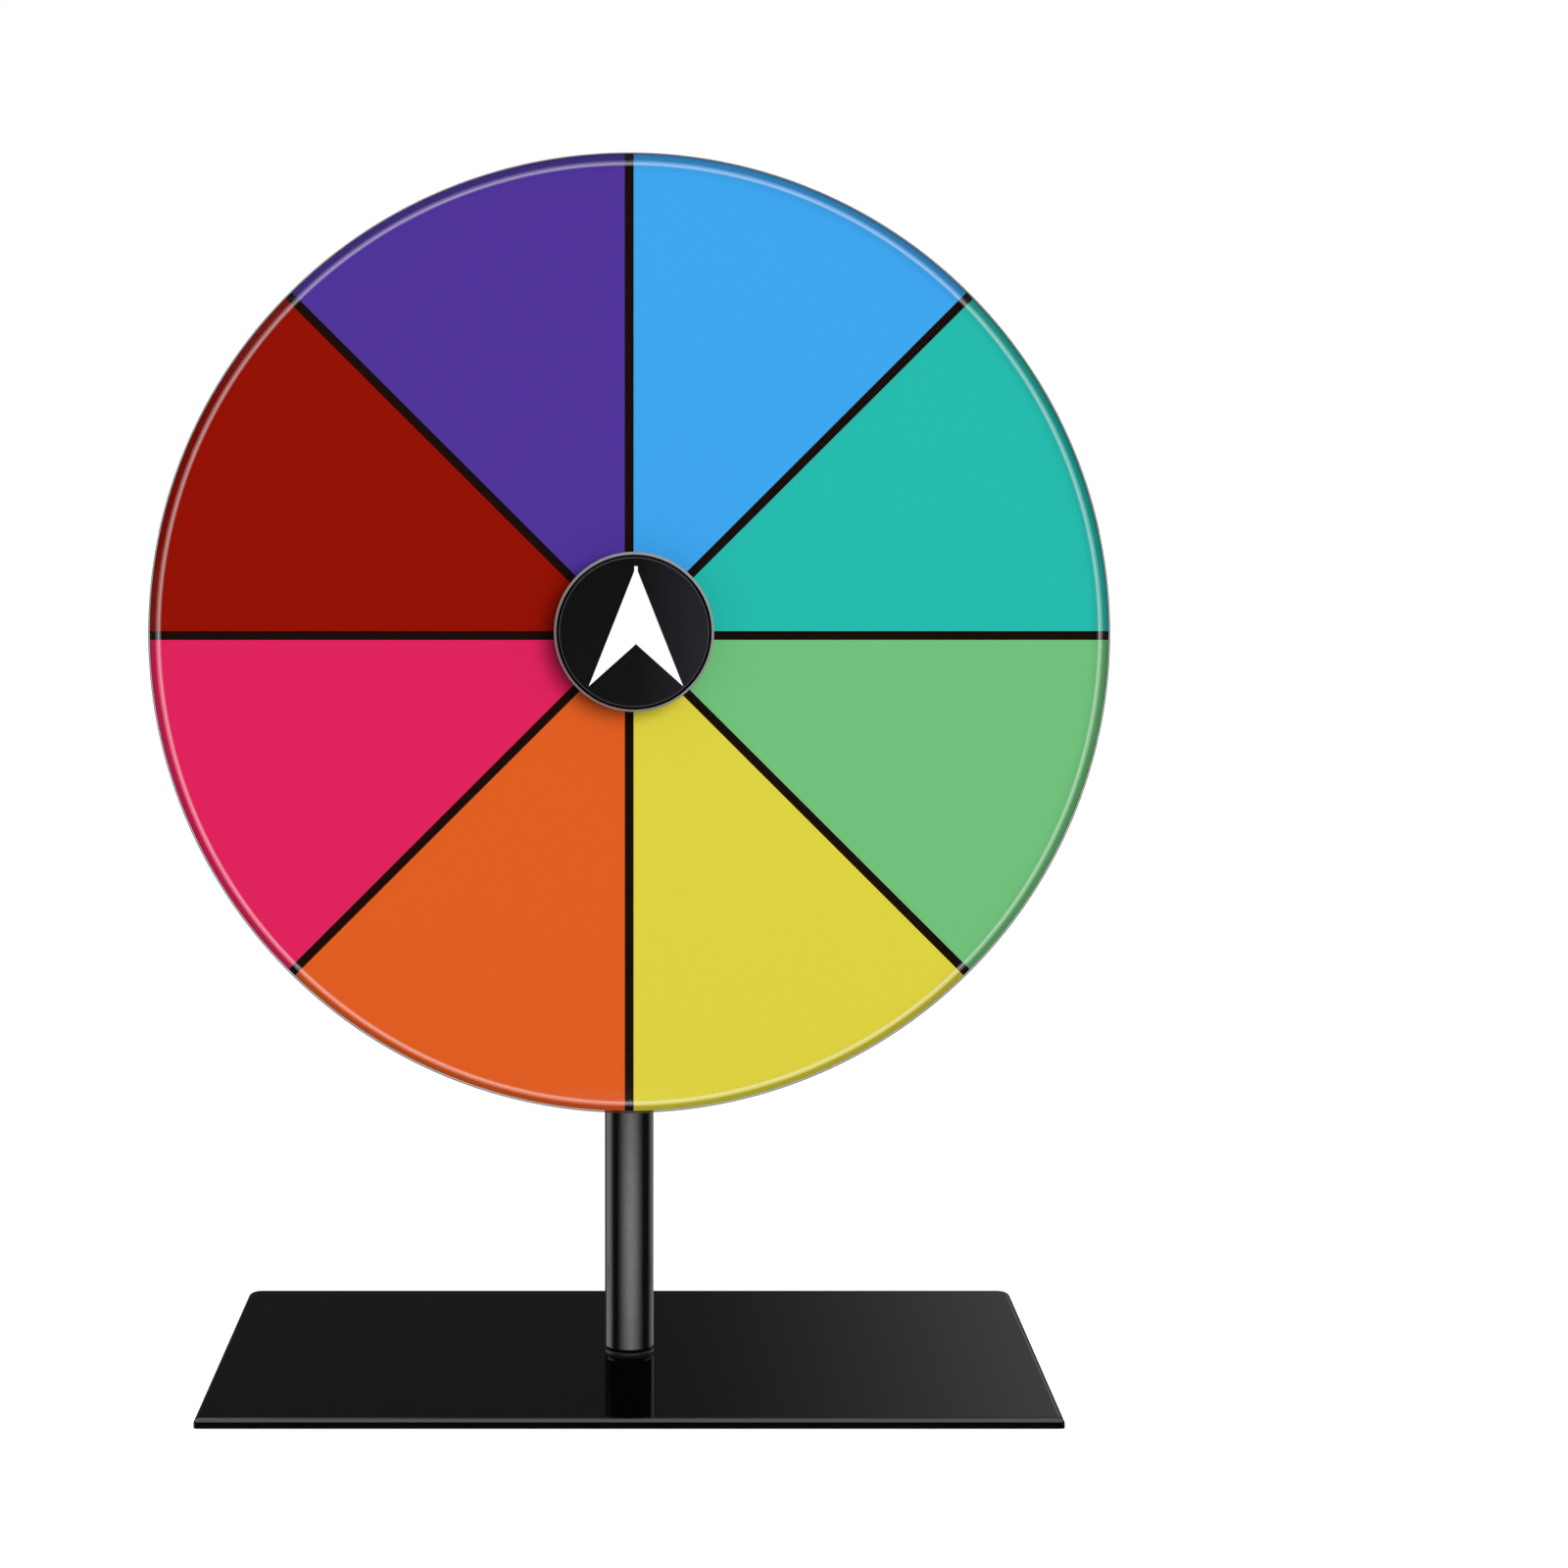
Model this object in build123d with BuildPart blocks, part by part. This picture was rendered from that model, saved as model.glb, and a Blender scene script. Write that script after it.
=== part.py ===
from build123d import *
from math import cos, radians, sin
import os

# Tabletop colour wheel on a stand, in millimetres.
# A round wheel of eight coloured sectors turns on a ball bearing in front of a round post.
# The post stands on a flat steel base, and a pointer disc with an arrow stays still in
# front of the wheel's centre.
# Frame: +Z up, the wheel faces -Y, origin at the middle of the footprint on the table.

# ---------------------------------------------------------------- driving dimensions

# Base
base_width = 173.8
base_depth = 100.0
base_thickness = 2.0
base_rear_corner = 3.0
base_front_corner = 0.8
base_top_edge = 1.2
foot_radius = 6.0
foot_height = 1.5
foot_edge = 0.4
foot_inset_x = 14.0
foot_inset_y = 15.0

# Base screw, M5 x 16 countersunk, socket head
base_screw_radius = 2.5
base_screw_head_radius = 5.0
base_screw_length = 16.0
base_screw_socket = 1.5
base_screw_socket_depth = 2.0

# Post
post_radius = 5.2
post_wall = 1.0
post_above_axle = 12.0
post_foot_chamfer = 0.75
axle_hole_radius = 3.1
axle_above_base = 154.0
foot_ring_radius = 5.2
foot_ring_bore = 3.1
foot_ring_height = 0.6
foot_ring_edge = 0.2
insert_length = 22.0
cap_height = 1.8
cap_edge = 1.2
cap_stem_length = 6.0

# Axle, an M6 x 30 hex bolt with its nut and washers
axle_radius = 2.975
thread_radius = 3.0
hex_across_flats = 10.0
bolt_head_height = 4.0
bolt_length = 30.0
bolt_tip_chamfer = 0.6
hex_corner_chamfer = 0.5
spacer_radius = 4.5
spacer_bore = 3.05
saddle_radius = 4.8
saddle_thickness = 2.0
washer_radius = 6.0
washer_bore = 3.2
washer_thickness = 1.6
shim_radius = 4.8
shim_thickness = 0.5
acorn_hex_height = 5.0
acorn_dome_radius = 4.75
acorn_height = 12.0
acorn_thread_depth = 8.0

# Ball bearing, 6 x 19 x 6, seven balls
bearing_bore = 3.0
bearing_radius = 9.5
bearing_width = 6.0
ball_count = 7
ball_radius = 1.75
ball_running_gap = 0.05
ball_pitch_radius = 6.25
inner_shoulder = 5.15
outer_shoulder = 7.38
ring_chamfer = 0.3
shield_inner = 5.35
shield_outer = 8.2
shield_thickness = 0.3
shield_from_centre = 2.45
cage_inner = 5.65
cage_outer = 6.85
cage_front = 1.1
cage_back = 2.2

# Wheel
wheel_radius = 100.0
divider_width = 1.85
panel_thickness = 0.3
panel_rim_gap = 0.15
backing_thickness = 2.0
cover_thickness = 3.0
cover_bevel_width = 1.9
cover_bevel_depth = 1.5
disc_bore = 10.8

# Wheel hub and the ring that clamps the discs on it
hub_back_gap = 2.0
hub_flange_radius = 22.0
hub_flange_thickness = 3.0
hub_flange_edge = 1.0
hub_boss_radius = 10.7
hub_lip_thickness = 1.0
hub_lip_bore = 7.6
hub_groove_inner = 17.2
hub_groove_outer = 20.4
hub_groove_depth = 1.0
clamp_radius = 14.6
clamp_bore = 8.6
clamp_thickness = 1.5
clamp_edge = 0.4
clamp_spigot_radius = 9.4
screw_count = 4
screw_circle = 12.75
screw_radius = 1.0
screw_head_radius = 1.9
screw_length = 8.0
screw_hole_radius = 1.1
screw_seat_radius = 1.95
screw_cross_length = 2.0
screw_cross_width = 0.4
screw_cross_depth = 0.6
clamp_post_radius = 1.6
clamp_post_hole = 1.7
clamp_post_end_gap = 0.2

# Pointer
pointer_right = 1.0
pointer_up = 1.2
pointer_radius = 16.5
pointer_gap = 1.2
pointer_thickness = 3.0
pointer_bevel_width = 0.65
pointer_bevel_depth = 0.38
pointer_edge_width = 0.5
pointer_edge_depth = 0.85
pointer_back_edge = 0.3
pointer_boss_radius = 7.5
pointer_boss_gap = 0.5
pointer_socket_gap = 0.05
arrow_right = 1.4
arrow_up = 1.3
arrow_thickness = 0.3
arrow_tip_height = 13.5
arrow_neck_height = 12.5
arrow_neck_half_width = 0.35
arrow_wing_half_width = 9.7
arrow_wing_drop = 11.2
arrow_notch_drop = 2.5

# ---------------------------------------------------------------- derived places

base_bottom = foot_height
base_top = base_bottom + base_thickness
axle_height = base_top + axle_above_base
post_bottom = base_top + foot_ring_height
post_top = axle_height + post_above_axle
post_bore = post_radius - post_wall

# Distances in front of the post's axis, along -Y.
hub_back = post_radius + hub_back_gap
bearing_back = hub_back + hub_lip_thickness
bearing_centre = bearing_back + bearing_width / 2
bearing_front = bearing_back + bearing_width
backing_back = hub_back + hub_flange_thickness
panel_back = backing_back + backing_thickness
cover_back = panel_back + panel_thickness
cover_front = cover_back + cover_thickness
clamp_front = cover_front + clamp_thickness
bolt_head_back = bearing_front + shim_thickness
bolt_head_front = bolt_head_back + bolt_head_height
pointer_boss_back = bolt_head_back + pointer_boss_gap
pointer_back = clamp_front + pointer_gap
pointer_front = pointer_back + pointer_thickness

# Distances behind the post's axis, along +Y.
saddle_back = post_radius + saddle_thickness
washer_back = saddle_back + washer_thickness

groove_radius = ball_radius + ball_running_gap

# The wheel's face seen from the front: local x to the right, y up, z towards the front.
front_plane = Plane(origin=(0, 0, axle_height), x_dir=(1, 0, 0), z_dir=(0, -1, 0))
# The same face seen from behind: local z towards the back.
rear_plane = Plane(origin=(0, 0, axle_height), x_dir=(-1, 0, 0), z_dir=(0, 1, 0))
# Half section through the axle: local x is the radius, local y the distance to the front.
section_plane = Plane(origin=(0, 0, axle_height), x_dir=(1, 0, 0), z_dir=(0, 0, -1))
wheel_axis = Axis((0, 0, axle_height), (0, -1, 0))

on_base = (Align.CENTER, Align.CENTER, Align.MIN)

os.makedirs("parts", exist_ok=True)

# ---------------------------------------------------------------- base

# Flat steel plate, rounded at the back corners and along its top edge.
with BuildPart() as base_plate:
    with BuildSketch(Plane.XY.offset(base_bottom)) as base_outline:
        Rectangle(base_width, base_depth)
        rear_corners = base_outline.vertices().group_by(Axis.Y)[-1]
        fillet(rear_corners, radius=base_rear_corner)
        front_corners = base_outline.vertices().group_by(Axis.Y)[0]
        fillet(front_corners, radius=base_front_corner)
    extrude(amount=base_thickness)
    fillet(base_plate.faces().sort_by(Axis.Z)[-1].edges(), radius=base_top_edge)
    # The screw's head cone takes the plate's whole thickness, and comes out narrower above.
    with BuildSketch(Plane.XY.offset(base_bottom)):
        Circle(base_screw_head_radius)
    extrude(amount=base_thickness, taper=45, mode=Mode.SUBTRACT)
base_plate.part.label = "base_plate"
export_step(base_plate.part, "parts/base_plate.step")

# Four round rubber pads under the plate's corners.
foot_x = base_width / 2 - foot_inset_x
foot_y = base_depth / 2 - foot_inset_y
foot_places = {
    "foot_front_left": (-foot_x, -foot_y),
    "foot_front_right": (foot_x, -foot_y),
    "foot_rear_left": (-foot_x, foot_y),
    "foot_rear_right": (foot_x, foot_y),
}
for foot_name, foot_place in foot_places.items():
    with BuildPart() as foot:
        with Locations(foot_place):
            Cylinder(foot_radius, foot_height, align=on_base)
        fillet(foot.edges().sort_by(Axis.Z)[0], radius=foot_edge)
    foot.part.label = foot_name
    export_step(foot.part, f"parts/{foot_name}.step")

# Countersunk screw that comes up through the plate into the post.
with BuildPart() as base_screw:
    with BuildSketch(Plane.XZ):
        with BuildLine():
            screw_tip = base_bottom + base_screw_length
            head_end = base_bottom + base_screw_head_radius - base_screw_radius
            Polyline(
                (0, base_bottom),
                (base_screw_head_radius, base_bottom),
                (base_screw_radius, head_end),
                (base_screw_radius, screw_tip - bolt_tip_chamfer),
                (base_screw_radius - bolt_tip_chamfer, screw_tip),
                (0, screw_tip),
                close=True,
            )
        make_face()
    revolve(axis=Axis.Z)
    with BuildSketch(Plane.XY.offset(base_bottom)):
        RegularPolygon(base_screw_socket, 6, major_radius=False)
    extrude(amount=base_screw_socket_depth, mode=Mode.SUBTRACT)
base_screw.part.label = "base_screw"
export_step(base_screw.part, "parts/base_screw.step")

# ---------------------------------------------------------------- post

# Thin ring between the plate and the post, as wide as the post.
with BuildPart() as post_foot_ring:
    with BuildSketch(Plane.XY.offset(base_top)):
        Circle(foot_ring_radius)
        Circle(foot_ring_bore, mode=Mode.SUBTRACT)
    extrude(amount=foot_ring_height)
    ring_top = post_foot_ring.faces().sort_by(Axis.Z)[-1]
    fillet(ring_top.outer_wire().edges(), radius=foot_ring_edge)
post_foot_ring.part.label = "post_foot_ring"
export_step(post_foot_ring.part, "parts/post_foot_ring.step")

# Round tube with one hole across it for the axle.
with BuildPart() as post_tube:
    with BuildSketch(Plane.XY.offset(post_bottom)):
        Circle(post_radius)
        Circle(post_bore, mode=Mode.SUBTRACT)
    extrude(amount=post_top - post_bottom)
    tube_foot = post_tube.faces().sort_by(Axis.Z)[0]
    chamfer(tube_foot.outer_wire().edges(), length=post_foot_chamfer)
    with BuildSketch(rear_plane):
        Circle(axle_hole_radius)
    extrude(amount=post_radius + post_wall, both=True, mode=Mode.SUBTRACT)
post_tube.part.label = "post_tube"
export_step(post_tube.part, "parts/post_tube.step")

# Threaded steel slug pressed into the tube's foot, which the base screw pulls on.
with BuildPart() as post_lower_insert:
    with BuildSketch(Plane.XY.offset(post_bottom)):
        Circle(post_bore)
        Circle(base_screw_radius, mode=Mode.SUBTRACT)
    extrude(amount=insert_length)
post_lower_insert.part.label = "post_lower_insert"
export_step(post_lower_insert.part, "parts/post_lower_insert.step")

# Push-in plastic cap that closes the tube's top end.
with BuildPart() as post_top_cap:
    with BuildSketch(Plane.XY.offset(post_top)):
        Circle(post_radius)
    extrude(amount=cap_height)
    fillet(post_top_cap.edges().sort_by(Axis.Z)[-1], radius=cap_edge)
    with BuildSketch(Plane.XY.offset(post_top)):
        Circle(post_bore)
        Circle(post_bore - post_wall, mode=Mode.SUBTRACT)
    extrude(amount=-cap_stem_length)
post_top_cap.part.label = "post_top_cap"
export_step(post_top_cap.part, "parts/post_top_cap.step")

# ---------------------------------------------------------------- axle

# Hex bolt from the front: its head sits under the pointer disc, its tip in the acorn nut.
bolt_tip = bolt_head_back - bolt_length
with BuildPart() as axle_bolt:
    with BuildSketch(section_plane):
        with BuildLine():
            Polyline(
                (0, bolt_head_back),
                (axle_radius, bolt_head_back),
                (axle_radius, bolt_tip + bolt_tip_chamfer),
                (axle_radius - bolt_tip_chamfer, bolt_tip),
                (0, bolt_tip),
                close=True,
            )
        make_face()
    revolve(axis=wheel_axis)
    with BuildSketch(front_plane.offset(bolt_head_back)):
        RegularPolygon(hex_across_flats / 2, 6, major_radius=False)
    extrude(amount=bolt_head_height)
    bolt_face = axle_bolt.faces().sort_by(Axis.Y)[0]
    chamfer(bolt_face.edges(), length=hex_corner_chamfer)
axle_bolt.part.label = "axle_bolt"
export_step(axle_bolt.part, "parts/axle_bolt.step")


def saddle(plane, radius, reach):
    """Short tube along the axle whose inner end is hollowed to sit on the round post."""
    with BuildPart() as tube:
        with BuildSketch(plane):
            Circle(radius)
            Circle(spacer_bore, mode=Mode.SUBTRACT)
        extrude(amount=reach)
        with Locations((0, 0, axle_height)):
            Cylinder(post_radius, 4 * radius, mode=Mode.SUBTRACT)
    return tube


# Spacer that holds the bearing clear of the post.
axle_spacer = saddle(front_plane, spacer_radius, bearing_back)
axle_spacer.part.label = "axle_spacer"
export_step(axle_spacer.part, "parts/axle_spacer.step")

# Its counterpart behind the post, with a flat back for the washer.
rear_saddle = saddle(rear_plane, saddle_radius, saddle_back)
rear_saddle.part.label = "rear_saddle"
export_step(rear_saddle.part, "parts/rear_saddle.step")

with BuildPart() as rear_washer:
    with BuildSketch(rear_plane.offset(saddle_back)):
        Circle(washer_radius)
        Circle(washer_bore, mode=Mode.SUBTRACT)
    extrude(amount=washer_thickness)
rear_washer.part.label = "rear_washer"
export_step(rear_washer.part, "parts/rear_washer.step")

# Thin washer that keeps the bolt's head off the bearing's shield.
with BuildPart() as bearing_shim:
    with BuildSketch(front_plane.offset(bearing_front)):
        Circle(shim_radius)
        Circle(spacer_bore, mode=Mode.SUBTRACT)
    extrude(amount=shim_thickness)
bearing_shim.part.label = "bearing_shim"
export_step(bearing_shim.part, "parts/bearing_shim.step")

# Domed nut on the back end of the bolt.
with BuildPart() as acorn_nut:
    with BuildSketch(rear_plane.offset(washer_back)):
        RegularPolygon(hex_across_flats / 2, 6, major_radius=False)
    extrude(amount=acorn_hex_height)
    nut_shoulder = acorn_nut.faces().sort_by(Axis.Y)[-1]
    chamfer(nut_shoulder.edges(), length=hex_corner_chamfer)
    dome_centre = acorn_height - acorn_dome_radius
    with BuildSketch(rear_plane.offset(washer_back)):
        Circle(acorn_dome_radius)
    extrude(amount=dome_centre)
    with Locations((0, washer_back + dome_centre, axle_height)):
        Sphere(acorn_dome_radius)
    with BuildSketch(rear_plane.offset(washer_back)):
        Circle(thread_radius)
    extrude(amount=acorn_thread_depth, mode=Mode.SUBTRACT)
acorn_nut.part.label = "acorn_nut"
export_step(acorn_nut.part, "parts/acorn_nut.step")

# ---------------------------------------------------------------- ball bearing

# Inner ring, held still on the bolt, with the groove that the balls run in.
with BuildPart() as bearing_inner_ring:
    with BuildSketch(section_plane) as inner_section:
        with Locations(((bearing_bore + inner_shoulder) / 2, bearing_centre)):
            Rectangle(inner_shoulder - bearing_bore, bearing_width)
        bore_corners = inner_section.vertices().group_by(Axis.X)[0]
        chamfer(bore_corners, length=ring_chamfer)
        with Locations((ball_pitch_radius, bearing_centre)):
            Circle(groove_radius, mode=Mode.SUBTRACT)
    revolve(axis=wheel_axis)
bearing_inner_ring.part.label = "bearing_inner_ring"
export_step(bearing_inner_ring.part, "parts/bearing_inner_ring.step")

# Outer ring, pressed into the wheel's hub, with a seat at each side for its shield.
with BuildPart() as bearing_outer_ring:
    with BuildSketch(section_plane) as outer_section:
        with Locations(((outer_shoulder + bearing_radius) / 2, bearing_centre)):
            Rectangle(bearing_radius - outer_shoulder, bearing_width)
        rim_corners = outer_section.vertices().group_by(Axis.X)[-1]
        chamfer(rim_corners, length=ring_chamfer)
        with Locations((ball_pitch_radius, bearing_centre)):
            Circle(groove_radius, mode=Mode.SUBTRACT)
        seat_depth = bearing_width / 2 - shield_from_centre
        seat_middle = (bearing_width / 2 + shield_from_centre) / 2
        for side in (-1, 1):
            with Locations(((outer_shoulder + shield_outer) / 2, bearing_centre + side * seat_middle)):
                Rectangle(shield_outer - outer_shoulder, seat_depth, mode=Mode.SUBTRACT)
    revolve(axis=wheel_axis)
bearing_outer_ring.part.label = "bearing_outer_ring"
export_step(bearing_outer_ring.part, "parts/bearing_outer_ring.step")

# Sheet steel shields in the outer ring, clear of the inner ring.
shield_places = {
    "bearing_shield_front": bearing_centre + shield_from_centre,
    "bearing_shield_rear": bearing_centre - shield_from_centre - shield_thickness,
}
for shield_name, shield_back in shield_places.items():
    with BuildPart() as shield:
        with BuildSketch(front_plane.offset(shield_back)):
            Circle(shield_outer)
            Circle(shield_inner, mode=Mode.SUBTRACT)
        extrude(amount=shield_thickness)
    shield.part.label = shield_name
    export_step(shield.part, f"parts/{shield_name}.step")

# Crown cage: a ring behind the balls with a pocket open to the front for each.
ball_plane = front_plane.offset(bearing_centre)
with BuildPart(ball_plane) as bearing_cage:
    with BuildSketch(ball_plane.offset(-cage_back)):
        Circle(cage_outer)
        Circle(cage_inner, mode=Mode.SUBTRACT)
    extrude(amount=cage_back + cage_front)
    with PolarLocations(ball_pitch_radius, ball_count):
        Sphere(groove_radius, mode=Mode.SUBTRACT)
bearing_cage.part.label = "bearing_cage"
export_step(bearing_cage.part, "parts/bearing_cage.step")

for ball_number in range(ball_count):
    ball_angle = 360 / ball_count * ball_number
    with BuildPart(ball_plane) as ball:
        with PolarLocations(ball_pitch_radius, 1, start_angle=ball_angle):
            Sphere(ball_radius)
    ball_name = f"bearing_ball_{ball_number + 1}"
    ball.part.label = ball_name
    export_step(ball.part, f"parts/{ball_name}.step")

# ---------------------------------------------------------------- wheel

# Hub: a rear flange for the discs, and a boss through them that holds the bearing.
with BuildPart() as wheel_hub:
    with BuildSketch(front_plane.offset(hub_back)):
        Circle(hub_flange_radius)
    extrude(amount=hub_flange_thickness)
    fillet(wheel_hub.edges().sort_by(Axis.Y)[-1], radius=hub_flange_edge)
    with BuildSketch(front_plane.offset(backing_back)):
        Circle(hub_boss_radius)
    extrude(amount=cover_front - backing_back)
    with BuildSketch(front_plane.offset(bearing_back)):
        Circle(bearing_radius)
    extrude(amount=cover_front - bearing_back, mode=Mode.SUBTRACT)
    with BuildSketch(front_plane.offset(hub_back)):
        Circle(hub_lip_bore)
    extrude(amount=hub_lip_thickness, mode=Mode.SUBTRACT)
    with BuildSketch(front_plane.offset(hub_back)):
        Circle(hub_groove_outer)
        Circle(hub_groove_inner, mode=Mode.SUBTRACT)
    extrude(amount=hub_groove_depth, mode=Mode.SUBTRACT)
    with Locations(rear_plane.offset(-hub_back)):
        with PolarLocations(screw_circle, screw_count):
            CounterSinkHole(screw_hole_radius, screw_seat_radius, counter_sink_angle=90)
wheel_hub.part.label = "wheel_hub"
export_step(wheel_hub.part, "parts/wheel_hub.step")

# Ring in front of the discs. Its spigot holds the bearing, and its four posts take the
# screws and keep the discs from turning on the hub.
with BuildPart() as front_clamp_ring:
    with BuildSketch(front_plane.offset(cover_front)):
        Circle(clamp_radius)
    extrude(amount=clamp_thickness)
    fillet(front_clamp_ring.edges().sort_by(Axis.Y)[0], radius=clamp_edge)
    with BuildSketch(front_plane.offset(bearing_front)):
        Circle(clamp_spigot_radius)
    extrude(amount=cover_front - bearing_front)
    with BuildSketch(front_plane.offset(backing_back + clamp_post_end_gap)):
        with PolarLocations(screw_circle, screw_count):
            Circle(clamp_post_radius)
    extrude(amount=cover_front - backing_back - clamp_post_end_gap)
    with BuildSketch(front_plane.offset(backing_back)):
        with PolarLocations(screw_circle, screw_count):
            Circle(screw_radius)
    extrude(amount=hub_back + screw_length - backing_back, mode=Mode.SUBTRACT)
    with BuildSketch(front_plane.offset(bearing_front)):
        Circle(clamp_bore)
    extrude(amount=clamp_front - bearing_front, mode=Mode.SUBTRACT)
front_clamp_ring.part.label = "front_clamp_ring"
export_step(front_clamp_ring.part, "parts/front_clamp_ring.step")

# Four countersunk cross-recess screws through the hub's flange into the clamp ring.
screw_cone_height = screw_head_radius - screw_radius
with BuildPart(front_plane.offset(hub_back)) as hub_screws:
    with PolarLocations(screw_circle, screw_count):
        Cone(screw_head_radius, screw_radius, screw_cone_height, align=on_base)
        Cylinder(screw_radius, screw_length, align=on_base)
        Box(screw_cross_length, screw_cross_width, screw_cross_depth, align=on_base, mode=Mode.SUBTRACT)
        Box(screw_cross_width, screw_cross_length, screw_cross_depth, align=on_base, mode=Mode.SUBTRACT)
hub_screws.part.label = "hub_screws"
export_step(hub_screws.part, "parts/hub_screws.step")

# Black disc behind the colours. It shows between them as the dividing lines.
with BuildPart() as backing_disc:
    with BuildSketch(front_plane.offset(backing_back)):
        Circle(wheel_radius)
        Circle(disc_bore, mode=Mode.SUBTRACT)
        with PolarLocations(screw_circle, screw_count):
            Circle(clamp_post_hole, mode=Mode.SUBTRACT)
    extrude(amount=backing_thickness)
backing_disc.part.label = "backing_disc"
export_step(backing_disc.part, "parts/backing_disc.step")

# Clear writing surface, bevelled around its front edge.
with BuildPart() as clear_cover:
    with BuildSketch(front_plane.offset(cover_back)):
        Circle(wheel_radius)
        Circle(disc_bore, mode=Mode.SUBTRACT)
        with PolarLocations(screw_circle, screw_count):
            Circle(clamp_post_hole, mode=Mode.SUBTRACT)
    extrude(amount=cover_thickness)
    cover_face = clear_cover.faces().sort_by(Axis.Y)[0]
    chamfer(
        cover_face.outer_wire().edges(),
        length=cover_bevel_width,
        length2=cover_bevel_depth,
        reference=cover_face,
    )
clear_cover.part.label = "clear_cover"
export_step(clear_cover.part, "parts/clear_cover.step")

# Eight coloured sectors, counter-clockwise from the right-hand end of the level divider.
# Each side runs half a divider's width beside the divider's middle line.
panel_names = [
    "panel_teal",
    "panel_blue",
    "panel_purple",
    "panel_dark_red",
    "panel_pink",
    "panel_orange",
    "panel_yellow",
    "panel_green",
]
half_sector = 360 / len(panel_names) / 2
wedge_apex = divider_width / 2 / sin(radians(half_sector))
wedge_reach = wheel_radius / cos(radians(half_sector))
wedge_end = wedge_apex + wedge_reach * cos(radians(half_sector))
wedge_half_width = wedge_reach * sin(radians(half_sector))
for panel_number, panel_name in enumerate(panel_names):
    panel_angle = half_sector * (2 * panel_number + 1)
    panel_middle = (cos(radians(panel_angle)), 0, sin(radians(panel_angle)))
    panel_plane = Plane(origin=front_plane.origin, x_dir=panel_middle, z_dir=front_plane.z_dir)
    with BuildPart() as panel:
        with BuildSketch(panel_plane.offset(panel_back)):
            Circle(wheel_radius - panel_rim_gap)
            Circle(disc_bore, mode=Mode.SUBTRACT)
            with PolarLocations(screw_circle, screw_count, start_angle=-panel_angle):
                Circle(clamp_post_hole, mode=Mode.SUBTRACT)
            with BuildLine():
                Polyline(
                    (wedge_apex, 0),
                    (wedge_end, wedge_half_width),
                    (wedge_end, -wedge_half_width),
                    close=True,
                )
            make_face(mode=Mode.INTERSECT)
        extrude(amount=panel_thickness)
    panel.part.label = panel_name
    export_step(panel.part, f"parts/{panel_name}.step")

# ---------------------------------------------------------------- pointer

# Bevelled disc that hides the hub, set a little to the right of the axle and above it. A hex
# socket in its boss presses onto the bolt's head, so it stays still while the wheel turns.
pointer_middle = (pointer_right, 0, axle_height + pointer_up)
pointer_plane = Plane(origin=pointer_middle, x_dir=(1, 0, 0), z_dir=(0, 0, -1))
bevel_back = pointer_front - pointer_bevel_depth
edge_back = bevel_back - pointer_edge_depth
with BuildPart() as pointer_disc:
    with BuildSketch(pointer_plane) as pointer_section:
        with BuildLine():
            Polyline(
                (0, pointer_back),
                (pointer_radius, pointer_back),
                (pointer_radius, edge_back),
                (pointer_radius - pointer_edge_width, bevel_back),
                (pointer_radius - pointer_edge_width - pointer_bevel_width, pointer_front),
                (0, pointer_front),
                close=True,
            )
        make_face()
        back_corner = pointer_section.vertices().group_by(Axis.Y)[0].sort_by(Axis.X)[-1]
        fillet(back_corner, radius=pointer_back_edge)
    revolve(axis=Axis(pointer_middle, (0, -1, 0)))
    with BuildSketch(front_plane.offset(pointer_boss_back)):
        Circle(pointer_boss_radius)
    extrude(amount=pointer_back - pointer_boss_back)
    with BuildSketch(front_plane.offset(pointer_boss_back)):
        RegularPolygon(hex_across_flats / 2 + pointer_socket_gap, 6, major_radius=False)
    extrude(amount=bolt_head_front + pointer_socket_gap - pointer_boss_back, mode=Mode.SUBTRACT)
pointer_disc.part.label = "pointer_disc"
export_step(pointer_disc.part, "parts/pointer_disc.step")

# White arrow on the disc's face, with a short narrow neck at its tip.
arrow_middle = (arrow_right, -pointer_front, axle_height + arrow_up)
arrow_plane = Plane(origin=arrow_middle, x_dir=(1, 0, 0), z_dir=(0, -1, 0))
with BuildPart() as pointer_arrow:
    with BuildSketch(arrow_plane):
        with BuildLine():
            Polyline(
                (-arrow_neck_half_width, arrow_tip_height),
                (arrow_neck_half_width, arrow_tip_height),
                (arrow_neck_half_width, arrow_neck_height),
                (arrow_wing_half_width, -arrow_wing_drop),
                (0, -arrow_notch_drop),
                (-arrow_wing_half_width, -arrow_wing_drop),
                (-arrow_neck_half_width, arrow_neck_height),
                close=True,
            )
        make_face()
    extrude(amount=arrow_thickness)
pointer_arrow.part.label = "pointer_arrow"
export_step(pointer_arrow.part, "parts/pointer_arrow.step")
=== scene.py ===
from math import cos, hypot, pi, radians, sin

import bpy
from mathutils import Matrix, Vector


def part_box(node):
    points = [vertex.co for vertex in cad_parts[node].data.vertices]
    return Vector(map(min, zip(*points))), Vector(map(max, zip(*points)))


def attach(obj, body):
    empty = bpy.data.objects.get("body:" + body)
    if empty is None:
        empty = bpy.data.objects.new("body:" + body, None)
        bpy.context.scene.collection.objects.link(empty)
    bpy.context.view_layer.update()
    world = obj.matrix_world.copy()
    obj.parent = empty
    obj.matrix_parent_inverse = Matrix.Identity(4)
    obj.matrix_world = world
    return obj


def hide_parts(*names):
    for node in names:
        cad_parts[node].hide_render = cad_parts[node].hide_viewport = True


# Looks of the tabletop colour wheel, in metres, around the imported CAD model.
# The wheel faces -Y and turns about a level axis along Y; +Z is up.

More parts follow.
